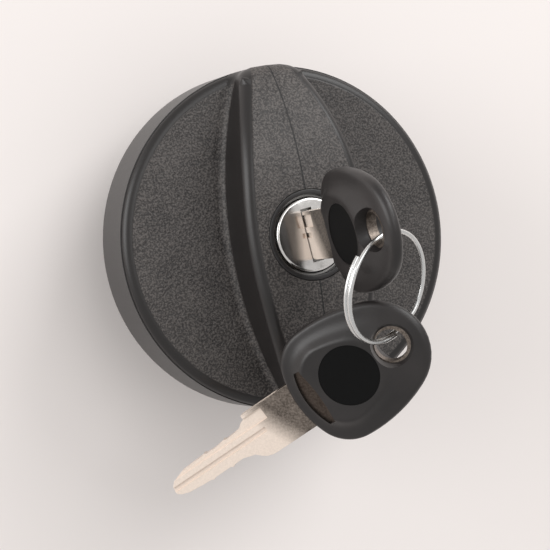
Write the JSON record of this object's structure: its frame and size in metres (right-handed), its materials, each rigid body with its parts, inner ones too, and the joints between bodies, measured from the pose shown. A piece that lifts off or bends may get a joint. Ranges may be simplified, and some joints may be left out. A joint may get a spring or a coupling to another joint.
{
  "type": "locking filler cap",
  "caption": "Round bayonet filler cap with a raised grip bar, a key lock that draws in its latch bolts, and keys on a split ring.",
  "frame": {"origin": "centre of the neck's end face, on the cap's axis", "axes": "+Z along the cap's axis from the neck's end to the grip; Y along the grip bar; the spare key hangs towards -X and -Y"},
  "size_m": [0.0808, 0.0932, 0.0947],
  "materials": {
    "shell_plastic": "fine grain on the flat faces, smooth on the rounded edges",
    "neck_plastic": "satin",
    "seal_rubber": "matte",
    "screw_steel": "satin",
    "bezel_plastic": "satin",
    "face_chrome": "polished",
    "lock_zinc": "die cast, satin",
    "wafer_brass": "stamped",
    "bolt_plastic": "smooth",
    "key_metal": "nickel plate",
    "key_plastic": "smooth on the crown, fine grain on the flange",
    "inlay_plastic": "bare disc",
    "ring_steel": "nickel plate"
  },
  "bodies": {
    "cap": {"cap_shell": "shell_plastic", "bayonet_neck": "neck_plastic", "neck_seal": "seal_rubber", "neck_screws": "screw_steel", "base_cover": "neck_plastic", "vent_umbrella": "seal_rubber", "guide_plate": "neck_plastic", "lock_bezel": "bezel_plastic", "lock_housing": "lock_zinc", "housing_clip": "screw_steel"},
    "plug": {"lock_plug": "lock_zinc", "lock_face": "face_chrome", "lock_wafers": "wafer_brass", "lock_cam": "lock_zinc", "cam_screw": "screw_steel"},
    "latch_1": {"latch_bolt_1": "bolt_plastic"},
    "latch_2": {"latch_bolt_2": "bolt_plastic"},
    "key_1": {"key_1_blade": "key_metal", "key_1_head": "key_plastic", "key_1_inlays": "inlay_plastic"},
    "ring": {"split_ring": "ring_steel"},
    "key_2": {"key_2_blade": "key_metal", "key_2_head": "key_plastic", "key_2_inlays": "inlay_plastic"}
  },
  "joints": [
    {"name": "plug_turn", "type": "hinge", "parent": "cap", "child": "plug", "pos_m": [0, 0, 0.036], "axis": [0, 0, 1], "range_deg": [0, 90]},
    {"name": "latch_1_slide", "type": "slide", "parent": "cap", "child": "latch_1", "axis": [-1, 0, 0], "range_m": [0, 0.004]},
    {"name": "latch_2_slide", "type": "slide", "parent": "cap", "child": "latch_2", "axis": [1, 0, 0], "range_m": [0, 0.004]},
    {"name": "key_slide", "type": "slide", "parent": "plug", "child": "key_1", "axis": [0, 0, 1], "range_m": [0, 0.036]},
    {"name": "ring_swing", "type": "hinge", "parent": "key_1", "child": "ring", "pos_m": [0, 0, 0.087], "axis": [-0.9954, -0.0958, 0], "range_deg": [0, 150]},
    {"name": "key_2_swing", "type": "hinge", "parent": "ring", "child": "key_2", "pos_m": [0.00329, -0.02467, 0.07654], "axis": [-0.5587, -0.147, 0.8162], "range_deg": [-3, 60]}
  ],
  "couplings": [
    {"joint": "latch_1_slide", "follows": "plug_turn", "m_per_rad": 0.0025465},
    {"joint": "latch_2_slide", "follows": "plug_turn", "m_per_rad": 0.0025465}
  ]
}
